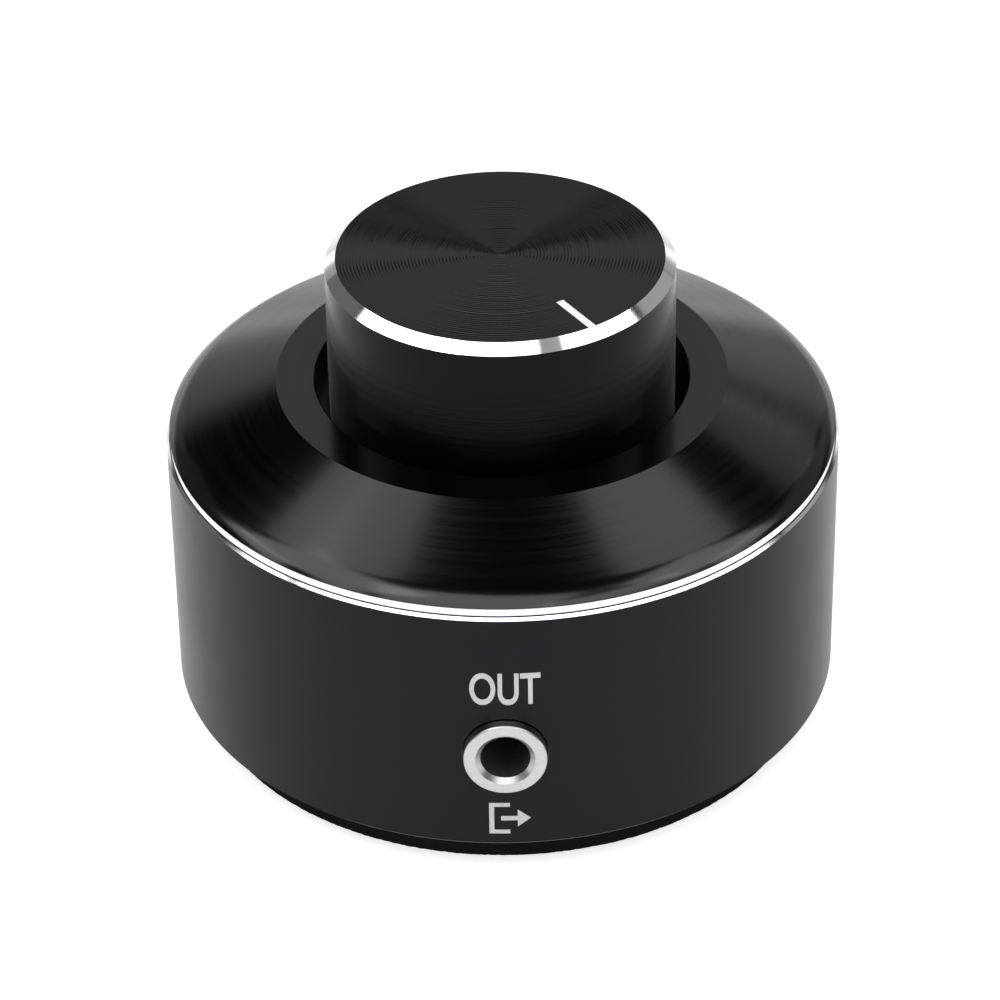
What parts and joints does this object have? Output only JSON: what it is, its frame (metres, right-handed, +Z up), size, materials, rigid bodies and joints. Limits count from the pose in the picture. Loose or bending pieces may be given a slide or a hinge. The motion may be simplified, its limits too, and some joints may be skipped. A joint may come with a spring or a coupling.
{
  "type": "studio monitor controller",
  "caption": "Small round desktop volume controller: black cup and cone cover with a bright edge band, large turned knob with an index mark, and jacks front and back.",
  "frame": {"origin": "middle of the foam pad's underside, on the knob's axis, where the controller stands", "axes": "+Z up along the knob's axis, the output jack faces -Y (the user's side), the input jack faces +Y, +X to the user's right"},
  "size_m": [0.05, 0.0516, 0.0372],
  "materials": {
    "blasted_black": "bead-blasted and black anodised, matte, with a diamond-cut bright rim",
    "satin_black": "turned and black anodised, satin, with a diamond-cut bright band",
    "turned_black": "fine turning grooves, black anodised, with a diamond-cut bright bevel",
    "foam": "matte closed-cell foam",
    "nickel": "nickel plated, bright",
    "black_steel": "black oxide",
    "plain_steel": "zinc plated",
    "board": "green solder mask",
    "black_plastic": "moulded, matte",
    "spring_bronze": "tinned spring bronze",
    "phenolic": "brown phenolic laminate",
    "white_plastic": "moulded, natural white"
  },
  "bodies": {
    "housing": {"cup": "blasted_black", "top_cover": "satin_black", "foot_pad": "foam", "cover_screws": "black_steel", "circuit_board": "board", "out_jack_nose": "nickel", "out_jack_housing": "black_plastic", "out_jack_contacts": "spring_bronze", "in_jack_nose": "nickel", "in_jack_housing": "black_plastic", "in_jack_contacts": "spring_bronze", "pot_plate": "plain_steel", "pot_washer": "plain_steel", "pot_nut": "plain_steel", "pot_case_front": "plain_steel", "pot_case_rear": "plain_steel", "pot_wafer_front": "phenolic", "pot_wafer_rear": "phenolic", "pot_terminals": "spring_bronze", "pot_rear_cover": "plain_steel"},
    "dial": {"knob": "turned_black", "grub_screw": "black_steel", "pot_shaft": "nickel", "shaft_clip": "plain_steel", "front_rotor": "white_plastic", "rear_rotor": "white_plastic", "wipers": "spring_bronze"}
  },
  "joints": [
    {"name": "knob_turn", "type": "hinge", "parent": "housing", "child": "dial", "pos_m": [0, 0, 0.0206], "axis": [0, 0, 1], "range_deg": [-2.9, 297.1]}
  ]
}
